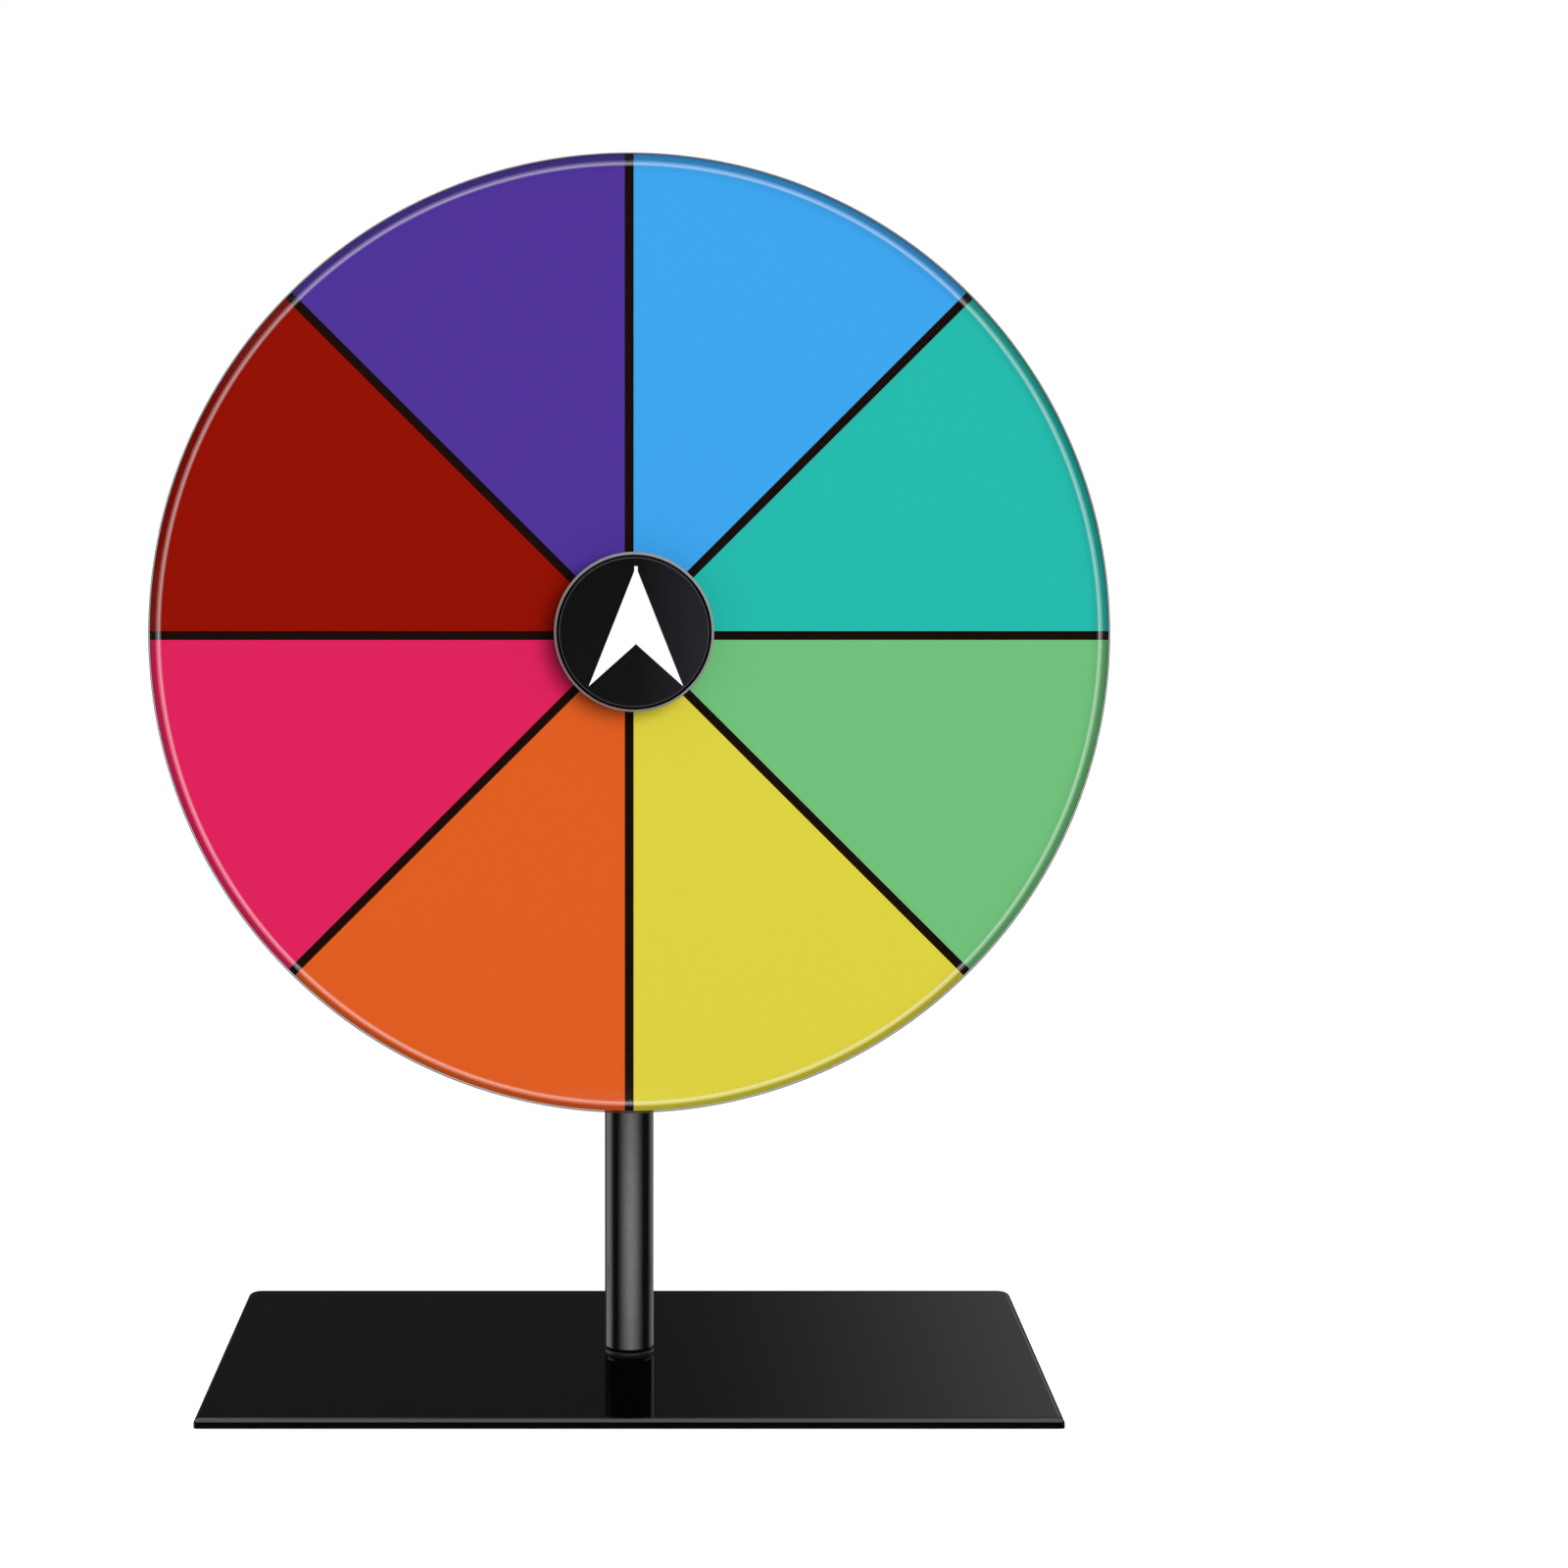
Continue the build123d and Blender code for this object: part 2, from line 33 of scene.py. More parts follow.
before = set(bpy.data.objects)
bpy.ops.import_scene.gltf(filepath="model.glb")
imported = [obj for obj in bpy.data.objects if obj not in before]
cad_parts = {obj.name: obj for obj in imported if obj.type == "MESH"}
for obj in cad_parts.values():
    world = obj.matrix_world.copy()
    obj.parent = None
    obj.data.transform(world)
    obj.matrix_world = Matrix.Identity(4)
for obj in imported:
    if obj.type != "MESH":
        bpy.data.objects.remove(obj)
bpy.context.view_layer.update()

MM = 0.001
WHITE = (1.0, 1.0, 1.0, 1.0)

# ---------------------------------------------------------------- places taken from the frame

# Corners within this of a flat face or of the rim lie on it.
ON_SURFACE = 0.01 * MM

node_box = {name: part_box(name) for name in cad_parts}


def middle_of(name):
    """Place of a node's middle, seen from the front: to the right, and up."""
    low, high = node_box[name]
    return (low.x + high.x) / 2, (low.z + high.z) / 2


def forward(name):
    """How far in front of the post's axis a node's back and front lie."""
    low, high = node_box[name]
    return -high.y, -low.y


def corners(name, centre):
    """Distance from a level axis, and place forward, of every corner of a node."""
    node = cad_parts[name]
    places = [node.matrix_world @ vertex.co for vertex in node.data.vertices]
    return [(hypot(place.x - centre[0], place.z - centre[1]), -place.y) for place in places]


wheel_middle = middle_of("axle_bolt")
axle_height = wheel_middle[1]
cover_back, cover_front = forward("clear_cover")
backing_back, backing_front = forward("backing_disc")

# The clear cover is a ring, bevelled round its front, with four holes beside its bore that
# the clamp ring's posts go through.
cover_corners = corners("clear_cover", wheel_middle)
cover_radii = [radius for radius, _ in cover_corners]
rim = max(cover_radii)
disc_bore = min(cover_radii)
cover_face = cover_front - ON_SURFACE
cover_side = rim - ON_SURFACE
bevel_inner = max(radius for radius, place in cover_corners if place > cover_face)
bevel_back = max(place for radius, place in cover_corners if radius > cover_side)
past_bore = disc_bore + 0.2 * MM
past_holes = 25 * MM
hole_reach = [radius for radius in cover_radii if past_bore < radius < past_holes]
screw_circle = (min(hole_reach) + max(hole_reach)) / 2
post_hole_radius = (max(hole_reach) - min(hole_reach)) / 2

# The pointer disc's flat face ends in a shallow bevel, and the bevel in a slanting edge.
pointer_middle = middle_of("pointer_disc")
pointer_front = forward("pointer_disc")[1]
pointer_corners = corners("pointer_disc", pointer_middle)
face_depth = pointer_front - ON_SURFACE
bevel_depth = pointer_front - 0.5 * MM
pointer_face = max(radius for radius, place in pointer_corners if place > face_depth)
pointer_edge = max(radius for radius, place in pointer_corners if place > bevel_depth)

# ---------------------------------------------------------------- camera

CAMERA_PLACE = (0.0004, -0.7023, 0.1997)
CAMERA_PITCH = radians(2.68)
CAMERA_LENS = 76.18
CAMERA_SENSOR = 36.0
CAMERA_SHIFT = (0.0975, -0.125)
CAMERA_NEAREST = 0.01

camera_data = bpy.data.cameras.new("camera")
camera_data.sensor_width = CAMERA_SENSOR
camera_data.lens = CAMERA_LENS
camera_data.shift_x, camera_data.shift_y = CAMERA_SHIFT
camera_data.clip_start = CAMERA_NEAREST
camera = bpy.data.objects.new("camera", camera_data)
camera.location = CAMERA_PLACE
camera.rotation_euler = (pi / 2 - CAMERA_PITCH, 0.0, 0.0)
bpy.context.scene.collection.objects.link(camera)
bpy.context.scene.camera = camera

bpy.context.scene.view_settings.view_transform = "Standard"
bpy.context.scene.view_settings.look = "None"

# ---------------------------------------------------------------- light

# Soft panels that only reflections see. Azimuth is measured from the front, -Y, towards +X,
# and every angle is in degrees. A panel is at its full strength over the full half-width, and
# has faded out at the faded one.
# name: azimuth, full half-width, faded half-width, lowest, highest, softness, strength
REFLECTED_PANELS = {
    "front_strip": (7, 0, 68, -15.7, -11.6, 0.4, 7.3),
    "front_low": (0, 0, 90, -70, -24, 3, 0.4),
    "beside_post_left": (-112, 10, 34, -20, -8, 2, 1.65),
    "beside_post_right": (136, 16, 36, -20, -8, 2, 0.66),
    "base_glow": (152, 9, 28, 8, 22, 4, 0.5),
    "side_left": (-80, 10, 38, -5, 5, 2, 1.2),
    "side_right": (80, 10, 38, -5, 5, 2, 1.0),
}
# Ceiling that the base's rounded front edge sees: full in front of the object, gone behind it.
CEILING_STRENGTH = 2.0
CEILING_LOWEST = (24, 38)
CEILING_END = (0.5, 0.1)
# Rear halo that rounded edges see all the way round: brighter towards -X, open where the
# panels above stand, and dark straight behind.
HALO_STRENGTH = 1.3
HALO_LEAN = -0.7
HALO_START = (-0.02, 0.4)
HALO_END = (0.85, 0.45)
HALO_GAP = (-21, 20, 3)
# What reflections see between the panels, and what lights matt surfaces from all sides.
STUDIO_DARK = 0.042
AMBIENT = 0.37
# Large soft lamp in front of the object, above it and towards +X. The share is how bright it
# alone makes a white wall that faces the camera.
KEY_SHARE = 0.68
KEY_TILT = radians(21)
KEY_TURN = radians(37)
KEY_SIZE = radians(34)


def connect(tree, value, socket):
    """Puts a plain value on a socket, or links another node's output to it."""
    if isinstance(value, (int, float, tuple)):
        socket.default_value = value
    else:
        tree.links.new(value, socket)


def math_maker(tree):
    """A function that adds a math node to the tree and returns the node's result."""

    def math_node(operation, *values):
        node = tree.nodes.new("ShaderNodeMath")
        node.operation = operation
        for socket, value in zip(node.inputs, values):
            connect(tree, value, socket)
        return node.outputs[0]

    return math_node


def world_light():
    """Studio that the camera sees as plain white, reflections as panels in the dark, and
    matt surfaces as an even glow."""
    world = bpy.data.worlds.new("studio")
    bpy.context.scene.world = world
    world.use_nodes = True
    # Only mirrored rays see the panels, so there is nothing to aim other rays at.
    world.cycles.sampling_method = "NONE"
    tree = world.node_tree
    tree.nodes.clear()

    math_node = math_maker(tree)

    def background(strength):
        node = tree.nodes.new("ShaderNodeBackground")
        node.inputs["Color"].default_value = WHITE
        connect(tree, strength, node.inputs["Strength"])
        return node.outputs[0]

    def choose(share, first, second):
        node = tree.nodes.new("ShaderNodeMixShader")
        for value, socket in zip((share, first, second), node.inputs):
            tree.links.new(value, socket)
        return node.outputs[0]

    def ramp(value, start, end):
        node = tree.nodes.new("ShaderNodeMapRange")
        node.interpolation_type = "SMOOTHSTEP"
        tree.links.new(value, node.inputs["Value"])
        node.inputs["From Min"].default_value = start
        node.inputs["From Max"].default_value = end
        return node.outputs["Result"]

    def band(value, lowest, highest, softness):
        above = ramp(value, lowest - softness, lowest + softness)
        below = ramp(value, highest + softness, highest - softness)
        return math_node("MULTIPLY", above, below)

    coordinates = tree.nodes.new("ShaderNodeTexCoord")
    split = tree.nodes.new("ShaderNodeSeparateXYZ")
    tree.links.new(coordinates.outputs["Generated"], split.inputs[0])
    x, y, z = split.outputs
    elevation = math_node("DEGREES", math_node("ARCSINE", z))
    azimuth = math_node("DEGREES", math_node("ARCTAN2", x, math_node("MULTIPLY", y, -1.0)))

    halo = math_node("MULTIPLY", ramp(y, *HALO_START), ramp(y, *HALO_END))
    halo = math_node("MULTIPLY", halo, math_node("SUBTRACT", 1.0, band(elevation, *HALO_GAP)))
    lean = math_node("MULTIPLY_ADD", x, HALO_LEAN, HALO_STRENGTH)
    reflected = math_node("MULTIPLY", halo, lean)
    ceiling = math_node("MULTIPLY", ramp(elevation, *CEILING_LOWEST), ramp(y, *CEILING_END))
    ceiling = math_node("MULTIPLY", ceiling, CEILING_STRENGTH)
    reflected = math_node("MAXIMUM", reflected, ceiling)
    for middle, full, faded, lowest, highest, softness, strength in REFLECTED_PANELS.values():
        aside = math_node("WRAP", math_node("SUBTRACT", azimuth, middle), 180.0, -180.0)
        across = ramp(math_node("ABSOLUTE", aside), faded, full)
        panel = math_node("MULTIPLY", across, band(elevation, lowest, highest, softness))
        panel = math_node("MULTIPLY", panel, strength)
        reflected = math_node("MAXIMUM", reflected, panel)
    reflected = math_node("ADD", reflected, STUDIO_DARK)

    path = tree.nodes.new("ShaderNodeLightPath")
    unseen = choose(path.outputs["Is Glossy Ray"], background(AMBIENT), background(reflected))
    seen = choose(path.outputs["Is Camera Ray"], unseen, background(1.0))
    out = tree.nodes.new("ShaderNodeOutputWorld")
    tree.links.new(seen, out.inputs["Surface"])


def key_light():
    """The soft lamp. Reflections don't see it."""
    lamp = bpy.data.lights.new("key", "SUN")
    lamp.energy = KEY_SHARE * pi / cos(KEY_TILT)
    lamp.angle = KEY_SIZE
    key = bpy.data.objects.new("key", lamp)
    key.visible_glossy = False
    towards = (
        sin(KEY_TILT) * cos(KEY_TURN),
        -cos(KEY_TILT),
        sin(KEY_TILT) * sin(KEY_TURN),
    )
    key.rotation_mode = "QUATERNION"
    key.rotation_quaternion = Vector(towards).to_track_quat("Z", "Y")
    bpy.context.scene.collection.objects.link(key)


world_light()
key_light()

# ---------------------------------------------------------------- floor

FLOOR_REACH = 6.0
FLOOR_GREY = (0.5, 0.5, 0.5, 1.0)
FLOOR_GLOW = 0.93

floor_corners = [
    (-FLOOR_REACH, -FLOOR_REACH, 0),
    (FLOOR_REACH, -FLOOR_REACH, 0),
    (FLOOR_REACH, FLOOR_REACH, 0),
    (-FLOOR_REACH, FLOOR_REACH, 0),
]
floor_mesh = bpy.data.meshes.new("floor")
floor_mesh.from_pydata(floor_corners, [], [(0, 1, 2, 3)])
floor = bpy.data.objects.new("floor", floor_mesh)
bpy.context.scene.collection.objects.link(floor)
# The floor takes the shadow, but neither lights the object nor shows in it.
floor.visible_glossy = False
floor.visible_diffuse = False
floor_material = bpy.data.materials.new("floor")
floor_material.use_nodes = True
floor_shader = floor_material.node_tree.nodes["Principled BSDF"]
floor_shader.inputs["Base Color"].default_value = FLOOR_GREY
floor_shader.inputs["Roughness"].default_value = 0.9
floor_shader.inputs["Specular IOR Level"].default_value = 0.0
floor_shader.inputs["Emission Color"].default_value = WHITE
floor_shader.inputs["Emission Strength"].default_value = FLOOR_GLOW
floor_mesh.materials.append(floor_material)

# ---------------------------------------------------------------- materials

# Sockets of a colour Mix node, which has other sockets of the same names.
MIX_FIRST, MIX_SECOND, MIX_RESULT = 6, 7, 2
# Octaves of the noise in the plain materials and in the cover's scuffs.
GRAIN_DETAIL = 3.0
SCUFF_DETAIL = 4.0


def srgb(red, green, blue):
    """Linear colour of a display colour, each part from 0 to 255."""
    parts = []
    for part in (red, green, blue):
        share = part / 255
        parts.append(share / 12.92 if share <= 0.04045 else ((share + 0.055) / 1.055) ** 2.4)
    return (*parts, 1.0)


def grey(value):
    return (value, value, value, 1.0)


def blend(tree, share, first, second):
    """Adds a colour mix to the tree and returns its result."""
    node = tree.nodes.new("ShaderNodeMix")
    node.data_type = "RGBA"
    tree.links.new(share, node.inputs["Factor"])
    connect(tree, first, node.inputs[MIX_FIRST])
    connect(tree, second, node.inputs[MIX_SECOND])
    return node.outputs[MIX_RESULT]


def material(name, colour, roughness, metallic=0.0, specular=0.5, alpha=1.0,
             grain=800.0, colour_change=0.0, roughness_change=0.0, bump=0.0):
    """Principled surface whose colour, roughness and relief vary with a fine noise.

    grain is the noise's count per metre and bump its height in metres."""
    made = bpy.data.materials.new(name)
    made.use_nodes = True
    tree = made.node_tree
    shader = tree.nodes["Principled BSDF"]
    shader.inputs["Base Color"].default_value = colour
    shader.inputs["Roughness"].default_value = roughness
    shader.inputs["Metallic"].default_value = metallic
    shader.inputs["Specular IOR Level"].default_value = specular
    shader.inputs["Alpha"].default_value = alpha
    place = tree.nodes.new("ShaderNodeTexCoord")
    noise = tree.nodes.new("ShaderNodeTexNoise")
    noise.inputs["Scale"].default_value = grain
    noise.inputs["Detail"].default_value = GRAIN_DETAIL
    tree.links.new(place.outputs["Object"], noise.inputs["Vector"])
    if colour_change:
        darker = (*(part * (1 - colour_change) for part in colour[:3]), 1.0)
        lighter = (*(part * (1 + colour_change) for part in colour[:3]), 1.0)
        varied = blend(tree, noise.outputs["Fac"], darker, lighter)
        tree.links.new(varied, shader.inputs["Base Color"])
    if roughness_change:
        spread = tree.nodes.new("ShaderNodeMapRange")
        tree.links.new(noise.outputs["Fac"], spread.inputs["Value"])
        spread.inputs["To Min"].default_value = roughness - roughness_change
        spread.inputs["To Max"].default_value = roughness + roughness_change
        tree.links.new(spread.outputs["Result"], shader.inputs["Roughness"])
    if bump:
        relief = tree.nodes.new("ShaderNodeBump")
        relief.inputs["Distance"].default_value = bump
        tree.links.new(noise.outputs["Fac"], relief.inputs["Height"])
        tree.links.new(relief.outputs["Normal"], shader.inputs["Normal"])
    return made


# Base and post
enamel = material(
    "gloss_enamel", grey(0.0005), 0.03,
    grain=900, colour_change=0.2, roughness_change=0.01, bump=4e-7,
)
post_paint = material(
    "post_paint", grey(0.0015), 0.16,
    grain=1200, colour_change=0.2, roughness_change=0.03, bump=2e-6,
)
ring_paint = material(
    "ring_paint", grey(0.003), 0.42, specular=0.33,
    grain=3000, colour_change=0.2, roughness_change=0.05, bump=5e-6,
)
rubber = material("foot_rubber", grey(0.02), 0.85, grain=3000, colour_change=0.3, bump=3e-5)

# Metal parts
zinc = material(
    "zinc_steel", (0.4, 0.4, 0.39, 1.0), 0.34, metallic=1.0,
    grain=1500, colour_change=0.08, roughness_change=0.08, bump=5e-6,
)
chrome = material(
    "nut_chrome", (0.46, 0.46, 0.475, 1.0), 0.2, metallic=1.0,
    grain=900, colour_change=0.04, roughness_change=0.05, bump=1e-6,
)
bearing_steel = material(
    "bearing_steel", (0.42, 0.42, 0.43, 1.0), 0.22, metallic=1.0,
    grain=2500, colour_change=0.05, roughness_change=0.05, bump=1e-6,
)
shield_steel = material(
    "shield_steel", grey(0.5), 0.35, metallic=1.0,
    grain=2500, colour_change=0.08, roughness_change=0.08, bump=2e-6,
)

# Moulded parts
nylon = material(
    "cage_nylon", (0.75, 0.7, 0.58, 1.0), 0.55,
    grain=2500, colour_change=0.06, bump=5e-6,
)
plastic = material(
    "black_plastic", grey(0.008), 0.42,
    grain=5000, colour_change=0.2, roughness_change=0.06, bump=1.2e-5,
)

# Backing disc: its rear and sides, and the printed front that shows between the sectors
board = material(
    "backing_board", grey(0.004), 0.4,
    grain=3500, colour_change=0.3, roughness_change=0.08, bump=1e-5,
)
board_ink = material(
    "backing_ink", srgb(22, 9, 4), 0.7, specular=0.06,
    grain=4500, colour_change=0.25, roughness_change=0.06, bump=4e-6,
)

# Pointer
arrow_white = material("arrow_white", grey(1.0), 0.5, grain=2500, colour_change=0.01, bump=2e-6)
pointer_gloss = material(
    "pointer_gloss", grey(0.006), 0.12,
    grain=2500, roughness_change=0.03, bump=1e-6,
)

# Painted light on the pointer's disc: a painted sheen on the face, darker towards -X and lighter
# towards +X.
FACE_SHEEN_LEFT = srgb(12, 12, 13)
FACE_SHEEN_RIGHT = srgb(36, 35, 41)
# Painted highlight on the pointer's edge, a touch lighter towards -X.
EDGE_HIGHLIGHT_LEFT = srgb(164, 162, 163)
EDGE_HIGHLIGHT_RIGHT = srgb(158, 156, 158)
BEVEL_BLACK = srgb(3, 3, 3)
# Painted highlight on the fine line round the pointer's face.
LINE_HIGHLIGHT_GREY = srgb(80, 78, 82)
LINE_HALF_WIDTH = 0.07 * MM
FACE_SPECULAR = 0.5
BEVEL_SPECULAR = 0.04


def pointer_zones(made):
    """Paints the pointer's disc by the distance to its middle: a painted sheen on the face,
    painted highlights on the fine line round the face and on the grey edge, and the dull black
    bevel."""
    tree = made.node_tree
    shader = tree.nodes["Principled BSDF"]
    math_node = math_maker(tree)

    place = tree.nodes.new("ShaderNodeTexCoord")
    split = tree.nodes.new("ShaderNodeSeparateXYZ")
    tree.links.new(place.outputs["Object"], split.inputs[0])
    aside = math_node("SUBTRACT", split.outputs["X"], pointer_middle[0])
    above = math_node("SUBTRACT", split.outputs["Z"], pointer_middle[1])
    across = math_node("DIVIDE", aside, pointer_face)
    squares = math_node("ADD", math_node("POWER", aside, 2.0), math_node("POWER", above, 2.0))
    distance = math_node("SQRT", squares)
    on_line = math_node("COMPARE", distance, pointer_face, LINE_HALF_WIDTH)
    past_face = math_node("GREATER_THAN", distance, pointer_face)
    on_edge = math_node("GREATER_THAN", distance, pointer_edge)

    # Painted sheen across the face and painted highlight on the edge, both graded along X.
    face = blend(tree, across, FACE_SHEEN_LEFT, FACE_SHEEN_RIGHT)
    edge = blend(tree, across, EDGE_HIGHLIGHT_LEFT, EDGE_HIGHLIGHT_RIGHT)
    colour = blend(tree, past_face, face, BEVEL_BLACK)
    # Painted highlights on the line round the face and on the edge.
    colour = blend(tree, on_line, colour, LINE_HIGHLIGHT_GREY)
    colour = blend(tree, on_edge, colour, edge)
    tree.links.new(colour, shader.inputs["Base Color"])
    specular_drop = BEVEL_SPECULAR - FACE_SPECULAR
    specular = math_node("MULTIPLY_ADD", past_face, specular_drop, FACE_SPECULAR)
    tree.links.new(specular, shader.inputs["Specular IOR Level"])


pointer_zones(pointer_gloss)

# Coloured vinyl of the sectors
PANEL_COLOURS = {
    "teal": srgb(37, 187, 175),
    "blue": srgb(62, 166, 237),
    "purple": srgb(80, 52, 155),
    "dark_red": srgb(148, 15, 0),
    "pink": srgb(224, 34, 94),
    "orange": srgb(225, 95, 33),
    "yellow": srgb(224, 212, 66),
    "green": srgb(114, 194, 125),
}
vinyl = {
    name: material(
        f"vinyl_{name}", colour, 0.45, specular=0.05,
        grain=6000, colour_change=0.012, roughness_change=0.05, bump=2e-6,
    )
    for name, colour in PANEL_COLOURS.items()
}

# Clear cover
CLEAR_IOR = 1.25
CLEAR_SMOOTHEST = 0.01
SCUFFING = 0.04
SCUFF_GRAIN = 700.0
# The frosted line also carries a painted highlight: it glows with this tint and strength.
FROST_HIGHLIGHT_TINT = (1.0, 0.95, 0.93, 1.0)
FROST_PAINTED_HIGHLIGHT = 1.3


def clear_material():
    """See-through surface with a plain, faintly scuffed gloss on the side that faces out."""
    made = bpy.data.materials.new("clear_acrylic")
    made.use_nodes = True
    tree = made.node_tree
    tree.nodes.clear()
    math_node = math_maker(tree)
    out = tree.nodes.new("ShaderNodeOutputMaterial")
    through = tree.nodes.new("ShaderNodeBsdfTransparent")
    gloss = tree.nodes.new("ShaderNodeBsdfAnisotropic")
    place = tree.nodes.new("ShaderNodeTexCoord")
    scuffs = tree.nodes.new("ShaderNodeTexNoise")
    scuffs.inputs["Scale"].default_value = SCUFF_GRAIN
    scuffs.inputs["Detail"].default_value = SCUFF_DETAIL
    tree.links.new(place.outputs["Object"], scuffs.inputs["Vector"])
    roughness = math_node("MULTIPLY_ADD", scuffs.outputs["Fac"], SCUFFING, CLEAR_SMOOTHEST)
    tree.links.new(roughness, gloss.inputs["Roughness"])
    fresnel = tree.nodes.new("ShaderNodeFresnel")
    fresnel.inputs["IOR"].default_value = CLEAR_IOR
    side = tree.nodes.new("ShaderNodeNewGeometry")
    outside = math_node("SUBTRACT", 1.0, side.outputs["Backfacing"])
    mix = tree.nodes.new("ShaderNodeMixShader")
    tree.links.new(math_node("MULTIPLY", fresnel.outputs[0], outside), mix.inputs[0])
    tree.links.new(through.outputs[0], mix.inputs[1])
    tree.links.new(gloss.outputs[0], mix.inputs[2])
    tree.links.new(mix.outputs[0], out.inputs["Surface"])
    return made


def frosted_highlight_material(name, alpha):
    """Fine frosting on the clear sheet, with a painted highlight: it glows in a faint tint,
    though it is no lamp, to stand for the highlight along the bevel's edge."""
    made = material(name, grey(0.98), 0.5, alpha=alpha, grain=4000, colour_change=0.02)
    shader = made.node_tree.nodes["Principled BSDF"]
    shader.inputs["Emission Color"].default_value = FROST_HIGHLIGHT_TINT
    shader.inputs["Emission Strength"].default_value = FROST_PAINTED_HIGHLIGHT
    return made


clear = clear_material()
frosted_highlight = frosted_highlight_material("frosted_highlight_line", 0.12)
frosted_highlight_side = frosted_highlight_material("frosted_highlight_line_side", 0.04)
# Painted shade over the bevel: a dark, partly see-through layer that darkens the colours under
# it.
bevel_painted_shade = material(
    "bevel_painted_shade", grey(0.01), 0.1, specular=0.1, alpha=0.3,
    grain=4000, colour_change=0.02,
)
# Painted shade on the cover's sides: dark and mostly opaque, so the rim shows a dark outline.
side_painted_shade = material("acrylic_side_painted_shade", grey(0.05), 0.2, alpha=0.78, grain=4000, colour_change=0.02)

NODE_MATERIALS = {
    "base_plate": enamel,
    "post_foot_ring": ring_paint,
    "post_tube": post_paint,
    "base_screw": zinc,
    "post_lower_insert": zinc,
    "axle_bolt": zinc,
    "rear_washer": zinc,
    "bearing_shim": zinc,
    "hub_screws": zinc,
    "acorn_nut": chrome,
    "bearing_inner_ring": bearing_steel,
    "bearing_outer_ring": bearing_steel,
    "bearing_shield_front": shield_steel,
    "bearing_shield_rear": shield_steel,
    "bearing_cage": nylon,
    "post_top_cap": plastic,
    "axle_spacer": plastic,
    "rear_saddle": plastic,
    "wheel_hub": plastic,
    "front_clamp_ring": plastic,
    "pointer_disc": pointer_gloss,
    "pointer_arrow": arrow_white,
}
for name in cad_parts:
    if name.startswith("foot_"):
        NODE_MATERIALS[name] = rubber
    elif name.startswith("bearing_ball_"):
        NODE_MATERIALS[name] = bearing_steel
    elif name.startswith("panel_"):
        NODE_MATERIALS[name] = vinyl[name.removeprefix("panel_")]
for name, made in NODE_MATERIALS.items():
    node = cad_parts[name]
    node.data.materials.clear()
    node.data.materials.append(made)

# ---------------------------------------------------------------- clear cover

SEGMENTS = 360
SMOOTHEST_CORNER = radians(20)
# A stretch of a profile longer than this gets a supporting point this far from each end.
LONG_STRETCH = 1 * MM
SUPPORT = 0.04 * MM
HOLE_COUNT = 4
HOLE_SIDES = 48
CUTTER_OVERHANG = 1 * MM


def supported(profile):
    """The profile with two more points near the ends of each long straight stretch, so that
    smooth shading of a corner stays beside the corner."""
    points = []
    for here, following in zip(profile, profile[1:] + profile[:1]):
        points.append(here)
        outward = following[0] - here[0]
        onward = following[1] - here[1]
        length = hypot(outward, onward)
        if length > LONG_STRETCH:
            for share in (SUPPORT / length, 1 - SUPPORT / length):
                points.append((here[0] + outward * share, here[1] + onward * share, here[2]))
    return points


def lathe(name, profile, materials):
    """Closed profile of (radius, forward, zone) turned round the wheel's axis."""
    profile = supported(profile)
    vertices = []
    faces = []
    zones = []
    count = len(profile)
    for step in range(SEGMENTS):
        angle = 2 * pi * step / SEGMENTS
        for radius, reach_forward, _ in profile:
            vertices.append(
                (radius * cos(angle), -reach_forward, axle_height + radius * sin(angle))
            )
    for step in range(SEGMENTS):
        here = step * count
        there = (step + 1) % SEGMENTS * count
        for point in range(count):
            following = (point + 1) % count
            faces.append((here + point, here + following, there + following, there + point))
            zones.append(profile[point][2])
    mesh = bpy.data.meshes.new(name)
    mesh.from_pydata(vertices, [], faces)
    for used in materials:
        mesh.materials.append(used)
    mesh.polygons.foreach_set("material_index", zones)
    mesh.polygons.foreach_set("use_smooth", [True] * len(faces))
    mesh.set_sharp_from_angle(angle=SMOOTHEST_CORNER)
    piece = bpy.data.objects.new(name, mesh)
    bpy.context.scene.collection.objects.link(piece)
    return piece


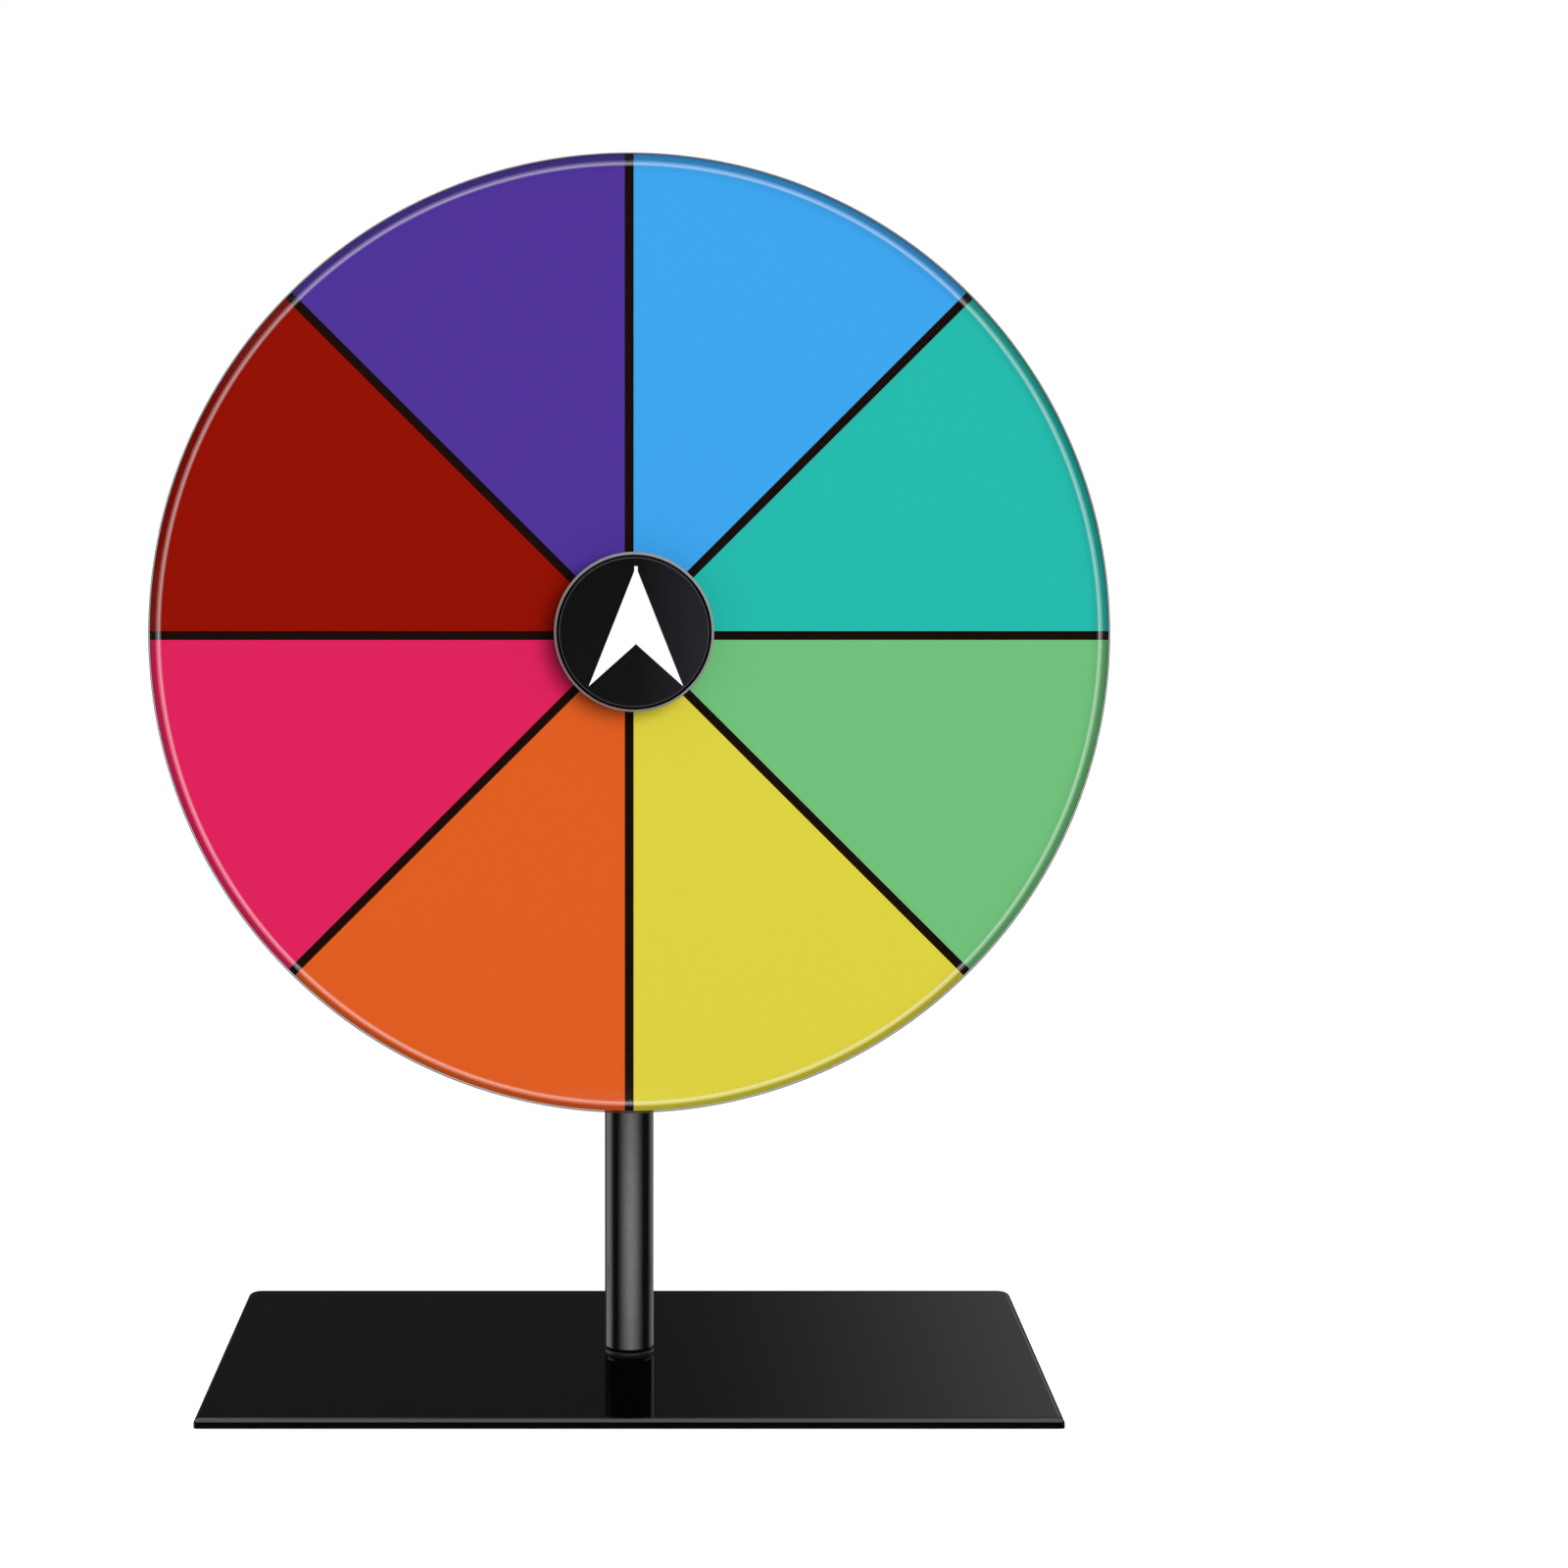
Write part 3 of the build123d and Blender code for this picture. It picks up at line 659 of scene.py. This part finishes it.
def bore_post_holes(piece):
    """Cuts the round holes for the clamp ring's posts through a disc. The cutters reach from
    behind the discs to in front of them."""
    vertices = []
    faces = []
    for hole in range(HOLE_COUNT):
        turn = 2 * pi * hole / HOLE_COUNT
        first = len(vertices)
        for end in (0, -cover_front - CUTTER_OVERHANG):
            for step in range(HOLE_SIDES):
                angle = 2 * pi * step / HOLE_SIDES
                vertices.append((
                    screw_circle * cos(turn) + post_hole_radius * cos(angle),
                    end,
                    axle_height + screw_circle * sin(turn) + post_hole_radius * sin(angle),
                ))
        other = first + HOLE_SIDES
        for step in range(HOLE_SIDES):
            following = (step + 1) % HOLE_SIDES
            faces.append((first + step, first + following, other + following, other + step))
        faces.append(tuple(first + step for step in reversed(range(HOLE_SIDES))))
        faces.append(tuple(other + step for step in range(HOLE_SIDES)))
    cutter_mesh = bpy.data.meshes.new("post_holes")
    cutter_mesh.from_pydata(vertices, [], faces)
    cutter = bpy.data.objects.new("post_holes", cutter_mesh)
    bpy.context.scene.collection.objects.link(cutter)
    cut = piece.modifiers.new("post_holes", "BOOLEAN")
    cut.operation = "DIFFERENCE"
    cut.solver = "EXACT"
    cut.object = cutter
    bpy.context.view_layer.update()
    evaluated = piece.evaluated_get(bpy.context.evaluated_depsgraph_get())
    bored = bpy.data.meshes.new_from_object(evaluated)
    bored.name = piece.name
    piece.modifiers.clear()
    piece.data = bored
    bpy.data.objects.remove(cutter)
    bpy.data.meshes.remove(cutter_mesh)


# Zones of the cover's surface, in the order of their materials. The profile runs from the
# bore's back, over the front, to the rim's back. The frosted line, with its painted highlight,
# ends where the bevel starts, and both ends of the bevel are eased. Bevel and sides carry painted
# shade.
CLEAR, LINE, LINE_SIDE, BEVEL, SIDE = range(5)
cover_materials = [clear, frosted_highlight, frosted_highlight_side, bevel_painted_shade, side_painted_shade]
AIR_GAP = 0.03 * MM
LINE_START = 1.0 * MM
LINE_FULL = 0.75 * MM
LINE_FADING = 0.32 * MM
EASE = 0.1 * MM
EASE_DROP = 0.02 * MM
bevel_slope = (cover_front - bevel_back) / (rim - bevel_inner)
bevel_drop = EASE * bevel_slope
cover_profile = [
    (disc_bore, cover_back + AIR_GAP, SIDE),
    (disc_bore, cover_front, CLEAR),
    (bevel_inner - LINE_START, cover_front, LINE_SIDE),
    (bevel_inner - LINE_FULL, cover_front, LINE),
    (bevel_inner - LINE_FADING, cover_front, LINE_SIDE),
    (bevel_inner, cover_front - EASE_DROP, LINE_SIDE),
    (bevel_inner + EASE, cover_front - bevel_drop, BEVEL),
    (rim - EASE, bevel_back + bevel_drop, BEVEL),
    (rim, bevel_back - EASE_DROP, SIDE),
    (rim, cover_back + AIR_GAP, CLEAR),
]
cover = lathe("cover_acrylic", cover_profile, cover_materials)
bore_post_holes(cover)
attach(cover, "wheel")
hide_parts("clear_cover")

# ---------------------------------------------------------------- backing board

INK, BOARD = range(2)
BOARD_EDGE = 0.15 * MM
board_profile = [
    (disc_bore, backing_back, BOARD),
    (disc_bore, backing_front, INK),
    (rim - BOARD_EDGE, backing_front, BOARD),
    (rim, backing_front - BOARD_EDGE, BOARD),
    (rim, backing_back + BOARD_EDGE, BOARD),
    (rim - BOARD_EDGE, backing_back, BOARD),
]
backing = lathe("board_disc", board_profile, [board_ink, board])
bore_post_holes(backing)
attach(backing, "wheel")
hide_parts("backing_disc")

# The post mirrors the open studio down to its foot, not the dark plate.
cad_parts["base_plate"].visible_glossy = False
